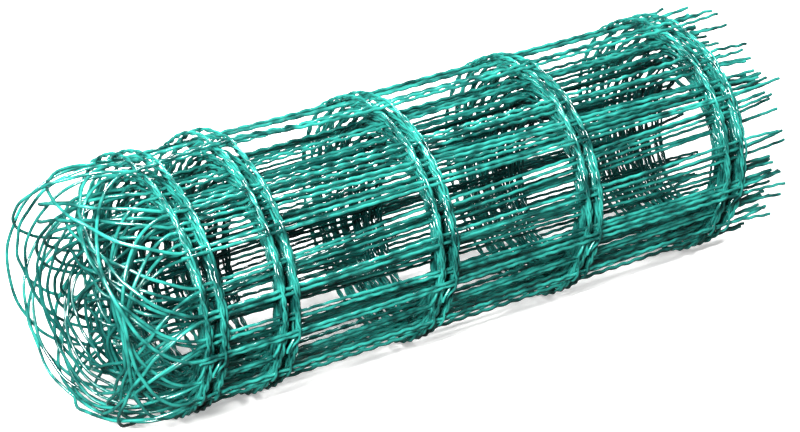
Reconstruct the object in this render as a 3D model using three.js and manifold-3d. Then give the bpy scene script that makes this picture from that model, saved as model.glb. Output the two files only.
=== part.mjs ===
// Roll of plastic-coated border fencing with hoop tops, lying on the floor.
// Millimetres, +Z up. The roll's axis runs along X, with the hoop tops at -X and the cut
// picket ends at +X. The origin is on the floor, under the middle of the roll's box.
//
// The fencing is one woven thing, so the roll is one solid. The wall of each turn stands for
// its pickets and line wires, the ridges of the outermost turn are its pickets, and the five
// pairs of bands are its lines of two twisted strands. Hoops and picket ends are real.

import * as THREE from 'three';
import * as BufferGeometryUtils from 'three/addons/utils/BufferGeometryUtils.js';
import Module from 'manifold-3d';

const wasm = await Module();
wasm.setup();

// Wires
const picketWire = 3.0; // across the coated wire of a picket and its hoop
const lineWire = 2.4; // across each of the two coated wires of a line
const turnWall = 1.8; // thickness of the wall that stands for one turn of open mesh

// Fencing, as it is sold
const meshLength = 4950;
const cellWidth = 93; // from one pair of pickets to the next
const hoopCells = 2; // cells that each hoop spans
const pairSpacing = 7; // between the two pickets of a pair, which belong to two hoops
const hoopRise = 72; // top of a hoop above the first line
const hoopBulge = 0.5; // 0 where a hoop is flat, 1 where it follows the roll's curve
const outerHoops = 14; // hoops of the outermost turns, which hide the ones inside them
const hoopStraight = 15; // straight part of each leg above the first line
const lineCount = 5;
const lineSpacing = 150;
const firstLineSpacing = 67; // between the first two lines, under the hoops
const strandGap = 13; // between the two strands of each line
const picketEnd = 62; // picket below the last line, on the outermost turn
const turnDrift = 1.2; // how far each turn stands out past the one around it, along X

// Roll: how far in each turn lies from the one around it
const rollRadius = 106; // to the middle of the outermost pickets
const frontStep = 3.0; // at -Y, where the turns bunch together
const backStep = 8.5; // at +Y, where they fan out
const crownStep = 4.6; // at the top and the bottom
const stepStart = THREE.MathUtils.degToRad(200); // each turn closes in between these angles,
const stepEnd = THREE.MathUtils.degToRad(262); // counted from the top by way of +Y

// Faceting
const wallLength = 22.5; // of each flat of a turn's wall
const wallsPerBend = 2; // the bands bend at every other one
const wallsPerStretch = 12;
const bendsToFloor = 11.5; // from the mesh's outer end round to where the roll lies
const hoopFacets = 9;
const footDepth = 3; // length of a hoop's foot or a picket end inside the wall

const fullTurn = 2 * Math.PI;
const lineX = Array.from({ length: lineCount }, (_, line) =>
  line === 0 ? 0 : firstLineSpacing + (line - 1) * lineSpacing,
);
const firstLineX = lineX[0];
const lastLineX = lineX[lineCount - 1];
const wallStartX = firstLineX - lineWire;
const wallEndX = lastLineX + strandGap + lineWire;
const bendLength = wallsPerBend * wallLength;
const wallCount = meshLength / wallLength;
const pairCount = Math.floor(meshLength / cellWidth) + 1;
const outerTurnLength = fullTurn * rollRadius;

// How many turns lie outside the mesh at an angle along it
function turnsOutside(angle) {
  const turns = (angle - stepEnd) / fullTurn + 1;
  const whole = Math.max(0, Math.floor(turns));
  const into = Math.max(0, turns) - whole;
  const closing = 1 - (stepEnd - stepStart) / fullTurn;
  return whole + THREE.MathUtils.smoothstep(into, closing, 1);
}

// A point on the middle of the mesh, with the roll's axis at 0, 0: x is the part's Y, y its Z
function rollPoint(angle) {
  const turns = turnsOutside(angle);
  const middle = (-(backStep - frontStep) / 2) * turns;
  const halfWidth = rollRadius - ((backStep + frontStep) / 2) * turns;
  const halfHeight = rollRadius - crownStep * turns;
  return new THREE.Vector2(middle + halfWidth * Math.sin(angle), halfHeight * Math.cos(angle));
}

// The direction that points out of the roll, square to the mesh
function outward(angle) {
  const reach = 0.001;
  const along = rollPoint(angle + reach).sub(rollPoint(angle - reach));
  return new THREE.Vector2(-along.y, along.x).normalize();
}

function offsetPoint(angle, distance) {
  return rollPoint(angle).addScaledVector(outward(angle), distance);
}

// The angles of evenly spaced stops along the mesh, from its outer end
function stopsAlongMesh() {
  const strides = 24;
  const stride = wallLength / strides;
  const reach = 0.001;
  let angle = Math.PI - (bendsToFloor * bendLength) / rollRadius;
  const stops = [angle];
  for (let stop = 1; stop <= wallCount; stop += 1) {
    for (let step = 0; step < strides; step += 1) {
      const speed = rollPoint(angle + reach).distanceTo(rollPoint(angle - reach)) / (2 * reach);
      angle += stride / speed;
    }
    stops.push(angle);
  }
  return stops;
}

const stops = stopsAlongMesh();

// The angle at a distance along the mesh from its outer end
function angleAt(distance) {
  const walls = distance / wallLength;
  const stop = Math.min(Math.floor(walls), stops.length - 2);
  return THREE.MathUtils.lerp(stops[stop], stops[stop + 1], walls - stop);
}

// The two pickets of a pair are the second leg of one hoop and the first leg of another
const firstLeg = (pair) => pair * cellWidth + pairSpacing;
const secondLeg = (pair) => pair * cellWidth;

// How far the mesh has drifted along the axis by an angle
const drift = (angle) => turnDrift * turnsOutside(angle);

// Turns a closed three.js geometry into a solid that can be joined
function solidOf(geometry) {
  geometry.deleteAttribute('normal');
  geometry.deleteAttribute('uv');
  const merged = BufferGeometryUtils.mergeVertices(geometry, 1e-4);
  return new wasm.Manifold(
    new wasm.Mesh({
      numProp: 3,
      vertProperties: new Float32Array(merged.attributes.position.array),
      triVerts: new Uint32Array(merged.index.array),
    }),
  );
}

function geometryOf(solid) {
  const mesh = solid.getMesh();
  const geometry = new THREE.BufferGeometry();
  geometry.setAttribute('position', new THREE.BufferAttribute(mesh.vertProperties, 3));
  geometry.setIndex(new THREE.BufferAttribute(mesh.triVerts, 1));
  const flat = geometry.toNonIndexed();
  flat.computeVertexNormals();
  return flat;
}

// An outline in the part's Y and Z, drawn out along X
function prism(outline, fromX, toX) {
  const geometry = new THREE.ExtrudeGeometry(new THREE.Shape(outline), {
    depth: toX - fromX,
    bevelEnabled: false,
  });
  const axes = new THREE.Matrix4().makeBasis(
    new THREE.Vector3(0, 1, 0),
    new THREE.Vector3(0, 0, 1),
    new THREE.Vector3(1, 0, 0),
  );
  geometry.applyMatrix4(axes);
  geometry.translate(fromX, 0, 0);
  return solidOf(geometry);
}

// A square section with the same area as the round wire
function wireSection(across) {
  const half = (across * Math.sqrt(Math.PI)) / 4;
  return [
    new THREE.Vector2(-half, -half),
    new THREE.Vector2(half, -half),
    new THREE.Vector2(half, half),
    new THREE.Vector2(-half, half),
  ];
}

// The wall of the mesh from one stop to another
function wallStretch(firstStop, lastStop) {
  const angles = stops.slice(firstStop, lastStop + 1);
  const outside = angles.map((angle) => offsetPoint(angle, turnWall / 2));
  const inside = angles.map((angle) => offsetPoint(angle, -turnWall / 2)).reverse();
  return prism([...outside, ...inside], wallStartX, wallEndX);
}

function turnWalls() {
  const walls = [];
  for (let first = 0; first < wallCount; first += wallsPerStretch) {
    walls.push(wallStretch(first, Math.min(first + wallsPerStretch, wallCount)));
  }
  return walls;
}

// A straight picket, from one place along the roll to its cut end
function picket(distance) {
  const angle = angleAt(distance);
  const middle = rollPoint(angle);
  const facing = outward(angle).angle();
  const corners = wireSection(picketWire).map((corner) =>
    corner.rotateAround(new THREE.Vector2(), facing).add(middle),
  );
  const fromX = distance < outerTurnLength ? wallStartX : wallEndX - footDepth;
  return prism(corners, fromX, lastLineX + picketEnd + drift(angle));
}

function pickets() {
  const solids = [];
  for (let pair = 0; pair < pairCount; pair += 1) {
    solids.push(picket(firstLeg(pair)), picket(secondLeg(pair)));
  }
  return solids;
}

// A hoop is stiffer than the line wires, so it only partly follows the roll's curve
class HoopCurve extends THREE.Curve {
  constructor(firstAngle, secondAngle) {
    super();
    this.first = rollPoint(firstAngle);
    this.second = rollPoint(secondAngle);
    const middleAngle = (firstAngle + secondAngle) / 2;
    const chordMiddle = this.first.clone().lerp(this.second, 0.5);
    this.bulge = rollPoint(middleAngle).sub(chordMiddle).multiplyScalar(hoopBulge);
    this.topX = firstLineX - hoopRise + drift(firstAngle);
    this.footX = wallStartX + footDepth;
    this.legLength = this.footX - firstLineX + hoopStraight;
    this.legShare = 0.15;
  }

  getPoint(t) {
    const springX = this.footX - this.legLength;
    const intoArch = (t - this.legShare) / (1 - 2 * this.legShare);
    const turn = Math.PI * THREE.MathUtils.clamp(intoArch, 0, 1);
    const leg = Math.min(t, 1 - t, this.legShare) / this.legShare;
    const x = this.footX - this.legLength * leg - (springX - this.topX) * Math.sin(turn);
    const across = this.second.clone().lerp(this.first, (1 + Math.cos(turn)) / 2);
    across.addScaledVector(this.bulge, Math.sin(turn));
    across.y = Math.max(across.y, picketWire - axisHeight());
    return new THREE.Vector3(x, across.x, across.y);
  }
}

function hoops() {
  return Array.from({ length: outerHoops }, (_, hoop) => {
    const curve = new HoopCurve(angleAt(firstLeg(hoop)), angleAt(secondLeg(hoop + hoopCells)));
    const tube = new THREE.ExtrudeGeometry(new THREE.Shape(wireSection(picketWire)), {
      steps: hoopFacets,
      extrudePath: curve,
    });
    return solidOf(tube);
  });
}

// A strand of the outermost turn's line wires, as high as where it passes over a picket
const bandHeight = picketWire / 2 + lineWire;

function strandBand(x) {
  const bends = Math.floor(outerTurnLength / bendLength);
  const along = stops.slice(0, bends * wallsPerBend + 1);
  const corners = along.filter((_, stop) => stop % wallsPerBend === 0);
  const outside = corners.map((angle) => offsetPoint(angle, bandHeight));
  const inside = along.map((angle) => rollPoint(angle));
  return prism([...outside, ...inside.reverse()], x - lineWire, x + lineWire);
}

function strandBands() {
  return lineX.flatMap((x) => [strandBand(x), strandBand(x + strandGap)]);
}

// Height of the axis: the roll lies on the flat of its bands between two bends
function axisHeight() {
  const besideFloor = angleAt((bendsToFloor - 0.5) * bendLength);
  return -offsetPoint(besideFloor, bandHeight).y;
}

function meshRoll() {
  const solid = wasm.Manifold.union([...turnWalls(), ...pickets(), ...hoops(), ...strandBands()]);
  const box = solid.boundingBox();
  const geometry = geometryOf(solid);
  geometry.translate(-(box.min[0] + box.max[0]) / 2, -(box.min[1] + box.max[1]) / 2, axisHeight());
  const coating = new THREE.MeshStandardMaterial({ color: 0x0f9c86, roughness: 0.3, metalness: 0 });
  const mesh = new THREE.Mesh(geometry, coating);
  mesh.name = 'mesh_roll';
  return mesh;
}

const roll = new THREE.Group();
roll.add(meshRoll());

export default roll;
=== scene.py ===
"""Roll of plastic-coated border fencing with hoop tops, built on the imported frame.

The fencing is drawn as it is woven: every hoop is one bent wire whose two legs are pickets, and
every line is two strands of two twisted wires that run round all the turns of the roll. The roll's
axis runs along X, the hoop tops are at -X and the cut picket ends at +X. An angle round the roll is
0 at the top and a quarter turn at +Y, and grows from the outer end of the fencing inwards.
"""

import bisect
import math
import random

import bpy
from bpy.props import FloatProperty, FloatVectorProperty, IntProperty, PointerProperty
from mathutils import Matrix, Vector, noise


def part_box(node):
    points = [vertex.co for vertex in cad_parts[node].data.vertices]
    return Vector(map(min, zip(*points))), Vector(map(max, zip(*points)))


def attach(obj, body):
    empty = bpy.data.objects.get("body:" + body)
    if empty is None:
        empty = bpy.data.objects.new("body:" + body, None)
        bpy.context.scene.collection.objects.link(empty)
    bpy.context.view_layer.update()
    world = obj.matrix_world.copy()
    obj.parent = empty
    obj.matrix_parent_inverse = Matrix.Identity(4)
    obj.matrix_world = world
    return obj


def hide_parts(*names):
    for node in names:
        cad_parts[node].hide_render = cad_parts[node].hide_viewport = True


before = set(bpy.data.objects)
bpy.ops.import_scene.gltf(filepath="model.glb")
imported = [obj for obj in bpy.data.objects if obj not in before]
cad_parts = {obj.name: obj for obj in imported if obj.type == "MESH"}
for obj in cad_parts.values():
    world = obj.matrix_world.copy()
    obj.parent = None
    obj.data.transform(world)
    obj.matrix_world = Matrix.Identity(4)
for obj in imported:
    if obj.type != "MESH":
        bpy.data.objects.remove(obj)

bl_info = {
    "name": "Border fencing roll",
    "version": (1, 0, 0),
    "blender": (4, 5, 0),
    "location": "View3D > Sidebar > Fencing",
    "description": "Builds a roll of plastic-coated border fencing with hoop tops",
    "category": "Object",
}

MM = 0.001
FULL_TURN = 2 * math.pi
LINE_COUNT = 5
AXIS_ASIDE = 0.6 * MM  # the roll's box is this much wider at its back than at its front
ROLL_NODE = "mesh_roll"
ROLL_BODY = "root"

# The frame's own box places the roll: its tips end at +X and it lies on z = 0
FRAME_LOW, FRAME_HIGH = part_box(ROLL_NODE)


class FencingSizes(bpy.types.PropertyGroup):
    """Sizes of the fencing as it is sold"""

    picket_wire: FloatProperty(
        name="Picket wire",
        description="Across the coated wire of a picket and its hoop",
        default=2.8 * MM,
        unit="LENGTH",
    )
    line_wire: FloatProperty(
        name="Line wire",
        description="Across each of the two coated wires of a strand",
        default=2.2 * MM,
        unit="LENGTH",
    )
    cell_width: FloatProperty(
        name="Cell width",
        description="From one pair of pickets to the next",
        default=88 * MM,
        unit="LENGTH",
    )
    length: FloatProperty(
        name="Length",
        description="Length of the whole fencing",
        default=5400 * MM,
        unit="LENGTH",
    )
    hoop_cells: IntProperty(name="Cells under a hoop", description="Cells that a hoop spans", default=2)
    pair_spacing: FloatProperty(
        name="Pair spacing",
        description="Between the two pickets of a pair",
        default=5.0 * MM,
        unit="LENGTH",
    )
    hoop_rise: FloatProperty(
        name="Hoop rise",
        description="Top of a hoop above the first line",
        default=66 * MM,
        unit="LENGTH",
    )
    line_spacing: FloatProperty(
        name="Line spacing",
        description="From one line to the next",
        default=150 * MM,
        unit="LENGTH",
    )
    first_line_spacing: FloatProperty(
        name="First line spacing",
        description="Between the two lines nearest the hoops",
        default=67 * MM,
        unit="LENGTH",
    )
    strand_gaps: FloatVectorProperty(
        name="Strand gaps",
        description="Between the two strands of each line, from the hoops down",
        subtype="XYZ_LENGTH",
        size=LINE_COUNT,
        default=(14 * MM, 13 * MM, 13 * MM, 11 * MM, 17 * MM),
    )
    longest_drift: FloatProperty(
        name="Longest drift",
        description="How far the last turn stands out past the first, at the picket ends",
        default=10.8 * MM,
        unit="LENGTH",
    )
    picket_end: FloatProperty(
        name="Picket end",
        description="Picket below the last line",
        default=62 * MM,
        unit="LENGTH",
    )


class RollSizes(bpy.types.PropertyGroup):
    """Sizes of the roll and of its turns"""

    radius: FloatProperty(
        name="Radius",
        description="To the middle of the outermost pickets",
        default=106 * MM,
        unit="LENGTH",
    )
    front_step: FloatProperty(
        name="Front step",
        description="From one turn to the next at -Y, where they bunch together",
        default=3.0 * MM,
        unit="LENGTH",
    )
    back_step: FloatProperty(
        name="Back step",
        description="From one turn to the next at +Y, where they fan out",
        default=8.5 * MM,
        unit="LENGTH",
    )
    crown_step: FloatProperty(
        name="Crown step",
        description="From one turn to the next at the top and the bottom",
        default=4.6 * MM,
        unit="LENGTH",
    )
    floor_arc: FloatProperty(
        name="Floor arc",
        description="Fencing from its outer end round to where the roll lies",
        default=517.5 * MM,
        unit="LENGTH",
    )
    bend_length: FloatProperty(
        name="Bend length",
        description="From one bend of the line wires to the next, where they bear on the floor",
        default=45 * MM,
        unit="LENGTH",
    )
    step_start: FloatProperty(
        name="Step start",
        description="Angle where a turn starts to close in under the one around it",
        default=math.radians(200),
        unit="ROTATION",
    )
    step_end: FloatProperty(
        name="Step end",
        description="Angle where a turn has closed in under the one around it",
        default=math.radians(262),
        unit="ROTATION",
    )


class CoatingLook(bpy.types.PropertyGroup):
    """Colours of the plastic coating, and of the painted shade that darkens it inside the roll"""

    bright: FloatVectorProperty(
        name="Bright coating",
        description="Colour of clean coating",
        subtype="COLOR",
        size=3,
        default=(0.025, 0.3, 0.25),
        min=0,
        max=1,
    )
    deep: FloatVectorProperty(
        name="Deep coating",
        description="Colour of thicker or duller coating",
        subtype="COLOR",
        size=3,
        default=(0.003, 0.05, 0.044),
        min=0,
        max=1,
    )
    # Painted shade: a dark colour put on the coating deep inside the roll, where the wires shade each
    # other, not a colour of the coating itself
    inner: FloatVectorProperty(
        name="Inner coating",
        description="Colour of the coating deep inside the roll",
        subtype="COLOR",
        size=3,
        default=(0.0, 0.032, 0.029),
        min=0,
        max=1,
    )
    # Where the painted shade is full, near the roll's axis, and where it has faded out, at the outside
    # of the roll
    full_shade_reach: FloatProperty(
        name="Inner reach",
        description="Distance from the roll's axis within which the coating has its inner colour",
        default=45 * MM,
        unit="LENGTH",
    )
    shade_free_reach: FloatProperty(
        name="Outer reach",
        description="Distance from the roll's axis beyond which it has its outer colour",
        default=104 * MM,
        unit="LENGTH",
    )
    # The painted shade is lifted towards the hoops, which catch light from the side
    hoop_light_reach: FloatProperty(
        name="End reach",
        description="Distance from the first line to where the hoops are brightest",
        default=60 * MM,
        unit="LENGTH",
    )
    hoop_light_share: FloatProperty(
        name="End share",
        description="How much of the outer colour the inner hoops have there",
        default=0.2,
        min=0,
        max=1,
        subtype="FACTOR",
    )
    shine: FloatProperty(
        name="Shine",
        description="Strength of the coating's reflections",
        default=0.8,
        min=0,
        max=1,
        subtype="FACTOR",
    )
    roughness: FloatProperty(
        name="Roughness",
        description="Roughness of the coating",
        default=0.14,
        min=0,
        max=1,
        subtype="FACTOR",
    )


class StageSettings(bpy.types.PropertyGroup):
    """Camera and lights"""

    camera_place: FloatVectorProperty(
        name="Camera place",
        description="Where the camera stands",
        subtype="TRANSLATION",
        size=3,
        default=(-1.0643, -1.5733, 1.0671),
        unit="LENGTH",
    )
    camera_azimuth: FloatProperty(
        name="Camera azimuth",
        description="Turn of the camera from looking along +Y",
        default=math.radians(-33.79),
        unit="ROTATION",
    )
    camera_elevation: FloatProperty(
        name="Camera elevation",
        description="How far the camera looks down",
        default=math.radians(27.01),
        unit="ROTATION",
    )
    camera_lens: FloatProperty(
        name="Camera lens",
        description="Focal length",
        default=113.14,
        unit="CAMERA",
    )
    floor_glow: FloatProperty(
        name="Floor glow",
        description="Brightness of the floor where no light falls",
        default=0.35,
        min=0,
    )
    sky_strength: FloatProperty(
        name="Sky strength",
        description="Brightness of the white surroundings",
        default=0.12,
        min=0,
    )


# How far each turn has drifted towards the picket ends, in millimetres, from the outermost in
TURN_DRIFT = (0.0, 3.5, 2.5, 6.0, 5.0, 8.0, 7.0, 9.5, 9.0, 10.8, 10.0, 12.0, 11.0, 13.0, 13.0)
PAIR_SPREAD = 0.618  # of a cell, by which the pairs of each turn stand past those of the last
STRIDES = 5400  # in which the path of the fencing is followed
ANGLE_REACH = 0.001  # to either side of an angle, to find the direction of the fencing there
TURN_SKEW = 0.04  # lean of the inner turns' pickets
SKEW_TURNS = 4  # turns over which it grows to that
SKEW_SWING = 2.4  # how fast it swings from one side to the other, in radians a turn

# The outermost turn isn't pulled tight
TIGHT_FROM = 0.5  # turns from the outer end where it starts to lie close to the next
LOOSE_CROWN = 7 * MM  # how far it stands off the top at the second line
LOOSE_CROWN_REACH = 70 * MM
LOOSE_BACK = 6 * MM  # and off the back, towards the hoops
LOOSE_BACK_REACH = 100 * MM
BACK_TURN = math.radians(25)  # the loose back starts this far before the top,
BACK_START = 0.1  # from this sine of the angle past that
BACK_RISE = 0.5  # and is all there where the sine has grown by this much


def smooth(share):
    share = min(max(share, 0.0), 1.0)
    return share * share * (3 - 2 * share)


def mix(start, end, share):
    return start * (1 - share) + end * share


class Spiral:
    """The path of the fencing from its outer end inwards"""

    def __init__(self, fencing, roll):
        self.fencing = fencing
        self.roll = roll
        self.band = fencing.picket_wire / 2 + fencing.line_wire
        half_bend = roll.bend_length / 2 / roll.radius
        self.axis_z = (roll.radius + self.band) * math.cos(half_bend)
        self.axis_y = (FRAME_LOW[1] + FRAME_HIGH[1]) / 2 - AXIS_ASIDE
        self.last_line = FRAME_HIGH[0] - fencing.picket_end - fencing.longest_drift
        self.start = math.pi - roll.floor_arc / roll.radius
        self.pair_count = math.floor(fencing.length / fencing.cell_width) + 1
        self.stride = fencing.length / STRIDES
        self.angles = self.angles_along()
        self.pair_distances = self.distances_of_pairs()

    def line_x(self, line):
        """Where a line stands along X. Line 0 is the one nearest the hoop tops."""
        fencing = self.fencing
        x = self.last_line - (LINE_COUNT - 1 - max(line, 1)) * fencing.line_spacing
        return x - fencing.first_line_spacing if line == 0 else x

    def turns_outside(self, angle):
        """How many turns lie outside the fencing at an angle."""
        turns = (angle - self.roll.step_end) / FULL_TURN + 1
        whole = max(0, math.floor(turns))
        into = max(0.0, turns) - whole
        closing = (self.roll.step_end - self.roll.step_start) / FULL_TURN
        return whole + smooth((into - 1 + closing) / closing)

    def middle(self, angle):
        """The middle of the fencing at an angle, as Y and Z from the roll's axis."""
        roll = self.roll
        turns = self.turns_outside(angle)
        shift = -(roll.back_step - roll.front_step) / 2 * turns
        width = roll.radius - (roll.back_step + roll.front_step) / 2 * turns
        height = roll.radius - roll.crown_step * turns
        return Vector((shift + width * math.sin(angle), height * math.cos(angle)))

    def outward(self, angle):
        """The direction that points out of the roll, square to the fencing."""
        along = self.middle(angle + ANGLE_REACH) - self.middle(angle - ANGLE_REACH)
        return Vector((-along.y, along.x)).normalized()

    def angles_along(self):
        """The angle at every stride along the fencing."""
        angle = self.start
        angles = [angle]
        for _ in range(STRIDES):
            along = self.middle(angle + ANGLE_REACH) - self.middle(angle - ANGLE_REACH)
            speed = along.length / (2 * ANGLE_REACH)
            angle += self.stride / speed
            angles.append(angle)
        return angles

    def distances_of_pairs(self):
        """Where each pair of pickets stands along the fencing, and one more past each end.

        The cells are stretched unevenly, so that the pairs of one turn don't lie under the next.
        """
        cell = self.fencing.cell_width
        turns = math.floor((self.angles[-1] - self.start) / FULL_TURN)
        starts = [
            bisect.bisect_left(self.angles, self.start + turn * FULL_TURN) * self.stride
            for turn in range(turns + 1)
        ]
        shifts = [0.0]
        for turns_on, start in enumerate(starts[1:]):
            wanted = turns_on * PAIR_SPREAD * cell + start - starts[1]
            shifts.append((wanted + cell / 2) % cell - cell / 2)
        distances = []
        for pair in range(-1, self.pair_count + 1):
            distance = pair * cell
            turn = min(max(bisect.bisect_right(starts, distance) - 1, 0), turns - 1)
            share = (distance - starts[turn]) / (starts[turn + 1] - starts[turn])
            distances.append(distance + mix(shifts[turn], shifts[turn + 1], min(share, 1.0)))
        return distances

    def pair_distance(self, pair):
        return self.pair_distances[pair + 1]

    def angle_at(self, distance):
        """The angle at a distance along the fencing, which may run past either end."""
        if distance < 0:
            return self.start + distance / self.roll.radius
        step = min(int(distance / self.stride), len(self.angles) - 2)
        share = distance / self.stride - step
        return mix(self.angles[step], self.angles[step + 1], share)

    def looseness(self, angle, x):
        """How far the outermost turn stands off the roll where it isn't pulled tight."""
        outermost = 1 - smooth(self.turns_outside(angle) - TIGHT_FROM)
        if outermost == 0:
            return 0.0
        from_line = (x - self.line_x(1)) / LOOSE_CROWN_REACH
        crown = LOOSE_CROWN * max(0.0, math.cos(angle)) ** 4 * math.exp(-from_line * from_line)
        towards_hoops = smooth((self.line_x(1) - x) / LOOSE_BACK_REACH)
        behind = smooth((math.sin(angle + BACK_TURN) - BACK_START) / BACK_RISE)
        return outermost * max(crown, LOOSE_BACK * behind * towards_hoops)

    def drift(self, angle):
        """How far the fencing has drifted towards the picket ends at an angle."""
        turns = min(self.turns_outside(angle), len(TURN_DRIFT) - 1.001)
        whole = int(turns)
        return mix(TURN_DRIFT[whole], TURN_DRIFT[whole + 1], turns - whole) * MM

    def skew(self, distance):
        """How far the pickets lean round the roll for each unit along it: more, further in."""
        turns = self.turns_outside(self.angle_at(distance))
        return TURN_SKEW * smooth(turns / SKEW_TURNS) * math.sin(SKEW_SWING * turns)

    def point(self, distance, x, lift=0.0):
        """A point of the fencing, lifted out of it, with its underside kept off the floor."""
        angle = self.angle_at(distance)
        middle = self.middle(angle)
        outward = self.outward(angle)
        z = max(self.axis_z + middle.y, self.band)
        lift += self.looseness(angle, x)
        return Vector(
            (
                x + self.drift(angle),
                self.axis_y + middle.x + outward.x * lift,
                z + outward.y * lift,
            )
        )


PICKET_SKEW = 0.008  # lean of each picket of its own
CRIMP_LENGTH = 15 * MM  # of a full wave along a picket
CRIMP_LAG = 1.1  # angle by which a wave out of the fencing runs ahead of the wave aside
CRIMP_DEPTHS = (0.5, 1.3)  # of the two sizes below, from picket to picket
CRIMP_OUT = 0.45 * MM  # how far a crimp goes out of the fencing, and
CRIMP_ASIDE = 0.3 * MM  # how far it goes aside
WANDER = 2.2 * MM  # how far a picket strays from straight
WANDER_LENGTH = 170 * MM
SEEDS = 100  # length of the stretch from which each wire's own place in the noise is drawn
NOISE_PLANE = 0.5  # off the noise's grid planes, where it is zero
INNER_WANDER = 6 * MM  # how far the hoops of the inner turns stray
TIP_SPLAY = 4 * MM  # how far a picket's tip is bent to a side
TIP_UNEVEN = 9 * MM  # how far it is longer or shorter than the others
HOOP_STRAIGHT = 8 * MM  # straight part of each leg above the first line
HOOP_BULGE = 0.5  # 0 where a hoop is flat, 1 where it follows the roll's curve
INNER_BULGE = 0.1  # the same, for the hoops of the inner turns, which fall in across the bore
OUTER_TURNS = 4  # turns whose hoops still follow the roll
INNER_TURN = 9  # turn from which they fall in all the way
HOOP_SWING = 5 * MM  # hoops rise this much more on one side and less on the other
HOOP_SWING_TURN = math.radians(60)  # and most of all here
HOOP_UNEVEN = 3 * MM
HOOP_WAVES = 3  # how fast a hoop strays along its arch
AXES_APART = (0, 50, 100)  # places in the noise of a hoop's straying along X, Y and Z
HOOP_CROSSING = 1.8 * MM  # out at a hoop's first leg and in at its second, to pass its neighbour
HOOP_FACETS = 44


def noise_at(place, seed):
    return noise.noise(Vector((place, seed, NOISE_PLANE)))


def picket_route(spiral, distance, top, step, rng):
    """A picket from its cut tip to its top, crimped along its length."""
    fencing = spiral.fencing
    tip = spiral.last_line + fencing.picket_end + rng.uniform(-1, 1) * TIP_UNEVEN
    splay_out = rng.uniform(-1, 1) * TIP_SPLAY
    splay_aside = rng.uniform(-1, 1) * TIP_SPLAY
    phase = rng.uniform(0, FULL_TURN)
    depth = rng.uniform(*CRIMP_DEPTHS)
    skew = spiral.skew(distance) + rng.uniform(-1, 1) * PICKET_SKEW
    seed = rng.uniform(0, SEEDS)
    count = math.ceil((tip - top) / step)
    route = []
    for index in range(count + 1):
        x = mix(tip, top, index / count)
        wave = FULL_TURN * x / CRIMP_LENGTH + phase
        stray = noise_at(x / WANDER_LENGTH, seed) * WANDER
        past_line = max(0.0, (x - spiral.last_line) / fencing.picket_end)
        aside = stray + CRIMP_ASIDE * depth * math.sin(wave) + splay_aside * past_line**2
        out = CRIMP_OUT * depth * math.sin(wave + CRIMP_LAG) + splay_out * past_line**2
        lean = skew * (x - spiral.line_x(2))
        route.append(spiral.point(distance + aside + lean, x, out))
    return route


def hoop_arch(spiral, foot, far_foot, distance, rng):
    """The arch between the tops of a hoop's two legs, whose middle is at a distance."""
    fencing = spiral.fencing
    angle = spiral.angle_at(distance)
    swing = HOOP_SWING * math.cos(angle - HOOP_SWING_TURN) + rng.uniform(-1, 1) * HOOP_UNEVEN
    rise = fencing.hoop_rise - HOOP_STRAIGHT + swing
    outward = spiral.outward(angle)
    out = Vector((0, outward.x, outward.y))
    past_outer = spiral.turns_outside(angle) - OUTER_TURNS
    into_roll = smooth(past_outer / (INNER_TURN - OUTER_TURNS))
    follows = mix(HOOP_BULGE, INNER_BULGE, into_roll)
    on_roll = spiral.point(distance, spiral.line_x(0) - HOOP_STRAIGHT)
    bulge = (on_roll - (foot + far_foot) / 2) * follows
    bulge.x = 0
    seed = rng.uniform(0, SEEDS)
    wander = mix(WANDER, INNER_WANDER, into_roll)
    arch = []
    for facet in range(1, HOOP_FACETS):
        turn = math.pi * facet / HOOP_FACETS
        stray = Vector([noise_at(turn * HOOP_WAVES, seed + apart) for apart in AXES_APART]) * wander
        place = foot.lerp(far_foot, (1 - math.cos(turn)) / 2)
        place.x -= rise * math.sin(turn)
        place += (bulge + stray) * math.sin(turn) + out * HOOP_CROSSING * math.sin(2 * turn)
        place.z = max(place.z, fencing.picket_wire)
        arch.append(place)
    return arch


def hoop_route(spiral, hoop, step, rng):
    """A hoop and the two pickets that are its legs: one wire, from tip to tip."""
    fencing = spiral.fencing
    first = spiral.pair_distance(hoop) + fencing.pair_spacing
    second = spiral.pair_distance(hoop + fencing.hoop_cells)
    spring = spiral.line_x(0) - HOOP_STRAIGHT
    first_leg = picket_route(spiral, first, spring, step, rng)
    second_leg = picket_route(spiral, second, spring, step, rng)
    second_leg.reverse()
    arch = hoop_arch(spiral, first_leg[-1], second_leg[0], (first + second) / 2, rng)
    return first_leg + arch + second_leg


def cut_picket_routes(spiral, step, rng):
    """The pickets at both ends of the fencing whose hoops were cut off."""
    fencing = spiral.fencing
    first_pairs = range(fencing.hoop_cells)
    last_pairs = range(spiral.pair_count - fencing.hoop_cells, spiral.pair_count)
    distances = [spiral.pair_distance(pair) for pair in first_pairs]
    distances += [spiral.pair_distance(pair) + fencing.pair_spacing for pair in last_pairs]
    return [
        picket_route(spiral, distance, spiral.line_x(0) - HOOP_STRAIGHT, step, rng)
        for distance in distances
    ]


HALF_TWISTS = 6  # of a strand from one pair of pickets to the next
PINCH_FLAT = 4 * MM  # how far from the middle of a pair the strand stays open around it
PINCH_REACH = 9 * MM  # and how far it takes to close again
TAIL = 15 * MM  # of each line wire past the last picket
TAIL_BENDS = (5.4 * MM, 9 * MM)  # how far the tails of a strand's two wires lean to the hoops
STRAND_WANDER = 2.8 * MM  # how far a strand strays from straight
STRAND_WANDER_LENGTH = 120 * MM
LINE_SEED = 7.3  # place of each line in the noise, times its number
STRAND_SEED = 3.1  # and of each strand


def passes_under(strand, pair):
    """Whether both wires of a strand pass under a pair: every other pair lies over the first."""
    return strand == 0 and pair % 2 == 0


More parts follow.
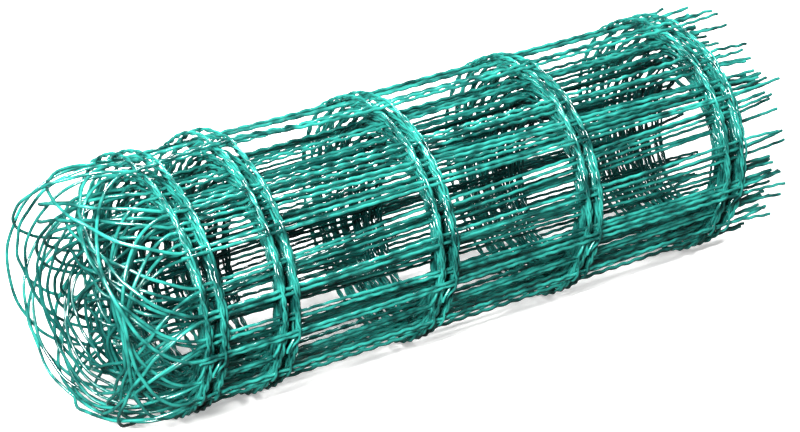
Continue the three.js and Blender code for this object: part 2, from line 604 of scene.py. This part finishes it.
def line_wire_route(spiral, line, strand, wire, step):
    """One of the two wires of a strand, twisted together and open around each pair."""
    fencing = spiral.fencing
    half_wire = fencing.line_wire / 2
    over_picket = fencing.picket_wire / 2
    base_x = spiral.line_x(line) + strand * fencing.strand_gaps[line]
    seed = line * LINE_SEED + strand * STRAND_SEED
    middles = [distance + fencing.pair_spacing / 2 for distance in spiral.pair_distances]
    count = math.ceil((fencing.length + 2 * TAIL) / step)
    pair = -1
    route = []
    for index in range(count + 1):
        distance = -TAIL + index * step
        while pair + 2 < len(middles) - 1 and distance > middles[pair + 2]:
            pair += 1
        here, after = middles[pair + 1], middles[pair + 2]
        share = (distance - here - PINCH_FLAT) / (after - here - 2 * PINCH_FLAT)
        share = min(max(share, 0.0), 1.0)
        nearest = pair if distance - here < after - distance else pair + 1
        from_pair = min(abs(distance - here), abs(after - distance))
        pinch = 1 - smooth((from_pair - PINCH_FLAT) / PINCH_REACH)
        under_here = passes_under(strand, pair)
        under_next = passes_under(strand, pair + 1)
        quarter = mix(1 - under_here, 1 - under_next, share) / 2
        phase = math.pi * (HALF_TWISTS * (pair + share) + quarter + wire)
        if passes_under(strand, nearest):
            lift = half_wire * math.sin(phase) - (over_picket + half_wire) * pinch
        else:
            lift = (half_wire + over_picket * pinch) * math.sin(phase)
        aside = half_wire * math.cos(phase)
        stray = noise_at(distance / STRAND_WANDER_LENGTH, seed) * STRAND_WANDER
        x = base_x + aside + stray - TAIL_BENDS[wire] * smooth(-distance / TAIL)
        route.append(spiral.point(distance, x, lift))
    return route


def wire_piece(name, routes, across, sides, coating):
    """Sweeps a round wire along each route, as one mesh piece with its place in its mesh."""
    curve = bpy.data.curves.new(name, "CURVE")
    curve.dimensions = "3D"
    curve.bevel_depth = across / 2
    curve.bevel_resolution = sides // 2 - 2
    curve.use_fill_caps = True
    for route in routes:
        spline = curve.splines.new("POLY")
        spline.points.add(len(route) - 1)
        spline.points.foreach_set("co", [value for point in route for value in (*point, 1.0)])
    swept = bpy.data.objects.new(name + "_route", curve)
    bpy.context.collection.objects.link(swept)
    bpy.context.view_layer.update()
    mesh = bpy.data.meshes.new_from_object(swept)
    bpy.data.objects.remove(swept)
    bpy.data.curves.remove(curve)
    mesh.name = name
    mesh.materials.clear()
    mesh.materials.append(coating)
    mesh.shade_smooth()
    piece = bpy.data.objects.new(name, mesh)
    bpy.context.collection.objects.link(piece)
    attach(piece, ROLL_BODY)
    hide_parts(ROLL_NODE)
    return piece


MOTTLE_SCALE = 55  # of the patches in the coating's colour
MOTTLE_RANGE = (0.35, 0.6)  # of the noise, from the deep colour to the bright one
RIPPLE_SCALE = 420  # of the unevenness of its surface
RIPPLE_DEPTH = 0.4 * MM
RIPPLE_STRENGTH = 0.25


def mottled_colour(tree, place, look):
    """The coating's own colour, in deep and bright patches."""
    mottle = tree.nodes.new("ShaderNodeTexNoise")
    mottle.inputs["Scale"].default_value = MOTTLE_SCALE
    mottle.inputs["Detail"].default_value = 3
    tree.links.new(place, mottle.inputs["Vector"])
    colours = tree.nodes.new("ShaderNodeValToRGB")
    for stop, position, colour in zip(
        colours.color_ramp.elements, MOTTLE_RANGE, (look.deep, look.bright)
    ):
        stop.position = position
        stop.color = (*colour, 1)
    tree.links.new(mottle.outputs["Fac"], colours.inputs["Fac"])
    return colours.outputs["Color"]


def unshaded_share(tree, place, look, hoop_foot):
    """Share of the coating's own colour: the rest is painted shade, inside the roll."""
    from_foot = tree.nodes.new("ShaderNodeVectorMath")
    from_foot.operation = "SUBTRACT"
    from_foot.inputs[1].default_value = hoop_foot
    tree.links.new(place, from_foot.inputs[0])
    across = tree.nodes.new("ShaderNodeVectorMath")
    across.operation = "MULTIPLY"
    across.inputs[1].default_value = (0, 1, 1)
    tree.links.new(from_foot.outputs["Vector"], across.inputs[0])
    distance = tree.nodes.new("ShaderNodeVectorMath")
    distance.operation = "LENGTH"
    tree.links.new(across.outputs["Vector"], distance.inputs[0])
    outwards = tree.nodes.new("ShaderNodeMapRange")
    outwards.inputs["From Min"].default_value = look.full_shade_reach
    outwards.inputs["From Max"].default_value = look.shade_free_reach
    tree.links.new(distance.outputs["Value"], outwards.inputs["Value"])
    parts = tree.nodes.new("ShaderNodeSeparateXYZ")
    tree.links.new(from_foot.outputs["Vector"], parts.inputs["Vector"])
    # Painted shade is lifted towards the hoops, which catch light from the side
    to_hoops = tree.nodes.new("ShaderNodeMapRange")
    to_hoops.inputs["From Min"].default_value = 0
    to_hoops.inputs["From Max"].default_value = -look.hoop_light_reach
    to_hoops.inputs["To Max"].default_value = look.hoop_light_share
    tree.links.new(parts.outputs["X"], to_hoops.inputs["Value"])
    share = tree.nodes.new("ShaderNodeMath")
    share.use_clamp = True
    tree.links.new(outwards.outputs["Result"], share.inputs[0])
    tree.links.new(to_hoops.outputs["Result"], share.inputs[1])
    return share.outputs["Value"]


def rippled_normal(tree, place):
    """A surface that isn't quite smooth."""
    ripple = tree.nodes.new("ShaderNodeTexNoise")
    ripple.inputs["Scale"].default_value = RIPPLE_SCALE
    ripple.inputs["Detail"].default_value = 2
    tree.links.new(place, ripple.inputs["Vector"])
    bump = tree.nodes.new("ShaderNodeBump")
    bump.inputs["Strength"].default_value = RIPPLE_STRENGTH
    bump.inputs["Distance"].default_value = RIPPLE_DEPTH
    tree.links.new(ripple.outputs["Fac"], bump.inputs["Height"])
    return bump.outputs["Normal"]


def coating_material(name, look, hoop_foot):
    """Glossy plastic coating, with painted shade that darkens it inside the roll."""
    material = bpy.data.materials.new(name)
    material.use_nodes = True
    tree = material.node_tree
    plastic = tree.nodes["Principled BSDF"]
    plastic.inputs["Roughness"].default_value = look.roughness
    plastic.inputs["IOR"].default_value = 1.5
    plastic.inputs["Specular IOR Level"].default_value = look.shine
    place = tree.nodes.new("ShaderNodeTexCoord").outputs["Object"]
    # Painted shade: mixes the coating towards a dark colour inside the roll
    shade = tree.nodes.new("ShaderNodeMix")
    shade.data_type = "RGBA"
    shade.inputs["A"].default_value = (*look.inner, 1)
    tree.links.new(unshaded_share(tree, place, look, hoop_foot), shade.inputs["Factor"])
    tree.links.new(mottled_colour(tree, place, look), shade.inputs["B"])
    tree.links.new(shade.outputs["Result"], plastic.inputs["Base Color"])
    tree.links.new(rippled_normal(tree, place), plastic.inputs["Normal"])
    return material


def coating_of(scene, spiral):
    """The one material of every wire, made the first time that it is asked for."""
    hoop_foot = (spiral.line_x(0), spiral.axis_y, spiral.axis_z)
    return bpy.data.materials.get("wire_coating") or coating_material(
        "wire_coating", scene.fencing_look, hoop_foot
    )


HOOP_SEED = 11
# The first hoop of each piece, and how finely its wires are drawn
HOOP_GROUPS = {
    "outer_hoops": {"first": 0, "step": 2.5 * MM, "sides": 8},
    "middle_hoops": {"first": 15, "step": 3.0 * MM, "sides": 6},
    "inner_hoops": {"first": 37, "step": 3.0 * MM, "sides": 6},
}
STRAND_STEP = 3.2 * MM
STRAND_SIDES = 6


class FENCING_OT_hoops(bpy.types.Operator):
    """Add the hoops with the pickets that are their legs"""

    bl_idname = "fencing.hoops"
    bl_label = "Add Hoops and Pickets"

    def execute(self, context):
        spiral = Spiral(context.scene.fencing_sizes, context.scene.fencing_roll)
        coating = coating_of(context.scene, spiral)
        wire = context.scene.fencing_sizes.picket_wire
        hoop_count = spiral.pair_count - context.scene.fencing_sizes.hoop_cells
        ends = [group["first"] for group in HOOP_GROUPS.values()][1:] + [hoop_count]
        rng = random.Random(HOOP_SEED)
        for (name, group), end in zip(HOOP_GROUPS.items(), ends):
            hoops = range(group["first"], end)
            routes = [hoop_route(spiral, hoop, group["step"], rng) for hoop in hoops]
            if name == "outer_hoops":
                routes += cut_picket_routes(spiral, group["step"], rng)
            wire_piece(name, routes, wire, group["sides"], coating)
        return {"FINISHED"}


class FENCING_OT_lines(bpy.types.Operator):
    """Add the twisted line wires"""

    bl_idname = "fencing.lines"
    bl_label = "Add Line Wires"

    def execute(self, context):
        spiral = Spiral(context.scene.fencing_sizes, context.scene.fencing_roll)
        coating = coating_of(context.scene, spiral)
        across = context.scene.fencing_sizes.line_wire
        for line in range(LINE_COUNT):
            routes = [
                line_wire_route(spiral, line, strand, wire, STRAND_STEP)
                for strand in range(2)
                for wire in range(2)
            ]
            wire_piece(f"line_{line + 1}_strands", routes, across, STRAND_SIDES, coating)
        return {"FINISHED"}


FLOOR_SIZE = 30
PAPER = (0.93, 0.93, 0.92, 1)
LIGHTS = {
    "key": {"place": (-1.9, -1.7, 2.0), "size": 0.8, "watts": 300},
    "side": {"place": (-2.2, 0.6, 1.2), "size": 0.4, "watts": 30},
    "overhead": {"place": (0.6, 0.5, 3.2), "size": 0.6, "watts": 150},
}
LIT_POINT = Vector((0, 0, 0.1))  # in the middle of the roll


def area_light(name, place, size, watts):
    lamp = bpy.data.lights.new(name, "AREA")
    lamp.size = size
    lamp.energy = watts
    light = bpy.data.objects.new(name, lamp)
    light.location = place
    light.rotation_euler = (LIT_POINT - Vector(place)).to_track_quat("-Z", "Y").to_euler()
    bpy.context.collection.objects.link(light)


def paper_material(glow):
    paper = bpy.data.materials.new("paper")
    paper.use_nodes = True
    matt = paper.node_tree.nodes["Principled BSDF"]
    matt.inputs["Base Color"].default_value = PAPER
    matt.inputs["Roughness"].default_value = 0.9
    matt.inputs["Emission Color"].default_value = (1, 1, 1, 1)
    matt.inputs["Emission Strength"].default_value = glow
    return paper


def studio_world(strength):
    world = bpy.data.worlds.new("studio")
    world.use_nodes = True
    surroundings = world.node_tree.nodes["Background"]
    surroundings.inputs["Color"].default_value = (1, 1, 1, 1)
    surroundings.inputs["Strength"].default_value = strength
    return world


def studio_camera(settings):
    lens = bpy.data.cameras.new("camera")
    lens.lens = settings.camera_lens
    lens.sensor_width = 36
    camera = bpy.data.objects.new("camera", lens)
    camera.location = settings.camera_place
    tilt = math.pi / 2 - settings.camera_elevation
    camera.rotation_euler = (tilt, 0, settings.camera_azimuth)
    bpy.context.collection.objects.link(camera)
    return camera


class FENCING_OT_stage(bpy.types.Operator):
    """Add the floor, the lights and the camera"""

    bl_idname = "fencing.stage"
    bl_label = "Add Stage"

    def execute(self, context):
        settings = context.scene.fencing_stage
        bpy.ops.mesh.primitive_plane_add(size=FLOOR_SIZE, location=(0, 0, 0))
        floor = context.object
        floor.name = "floor"
        floor.data.materials.append(paper_material(settings.floor_glow))
        # The floor doesn't light the wires from below, which are dark there in the photo
        floor.visible_diffuse = False
        floor.visible_glossy = False
        for name, light in LIGHTS.items():
            area_light(name, **light)
        context.scene.world = studio_world(settings.sky_strength)
        context.scene.view_settings.view_transform = "Standard"
        context.scene.camera = studio_camera(settings)
        return {"FINISHED"}


class FENCING_PT_roll(bpy.types.Panel):
    """Lists the fencing's sizes, its looks and the operators that build it"""

    bl_idname = "FENCING_PT_roll"
    bl_label = "Fencing Roll"
    bl_space_type = "VIEW_3D"
    bl_region_type = "UI"
    bl_category = "Fencing"

    def draw(self, context):
        for group in (
            context.scene.fencing_sizes,
            context.scene.fencing_roll,
            context.scene.fencing_look,
            context.scene.fencing_stage,
        ):
            box = self.layout.box()
            for name in group.__annotations__:
                box.prop(group, name)
        for operator in OPERATORS:
            self.layout.operator(operator.bl_idname)


OPERATORS = (FENCING_OT_hoops, FENCING_OT_lines, FENCING_OT_stage)
SETTINGS = {
    "fencing_sizes": FencingSizes,
    "fencing_roll": RollSizes,
    "fencing_look": CoatingLook,
    "fencing_stage": StageSettings,
}


def register():
    for settings in SETTINGS.values():
        bpy.utils.register_class(settings)
    for name, settings in SETTINGS.items():
        setattr(bpy.types.Scene, name, PointerProperty(type=settings))
    for operator in OPERATORS:
        bpy.utils.register_class(operator)
    bpy.utils.register_class(FENCING_PT_roll)


def unregister():
    bpy.utils.unregister_class(FENCING_PT_roll)
    for operator in reversed(OPERATORS):
        bpy.utils.unregister_class(operator)
    for name in SETTINGS:
        delattr(bpy.types.Scene, name)
    for settings in SETTINGS.values():
        bpy.utils.unregister_class(settings)


def main():
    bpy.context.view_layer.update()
    register()
    bpy.ops.fencing.hoops()
    bpy.ops.fencing.lines()
    bpy.ops.fencing.stage()


if __name__ == "__main__":
    main()
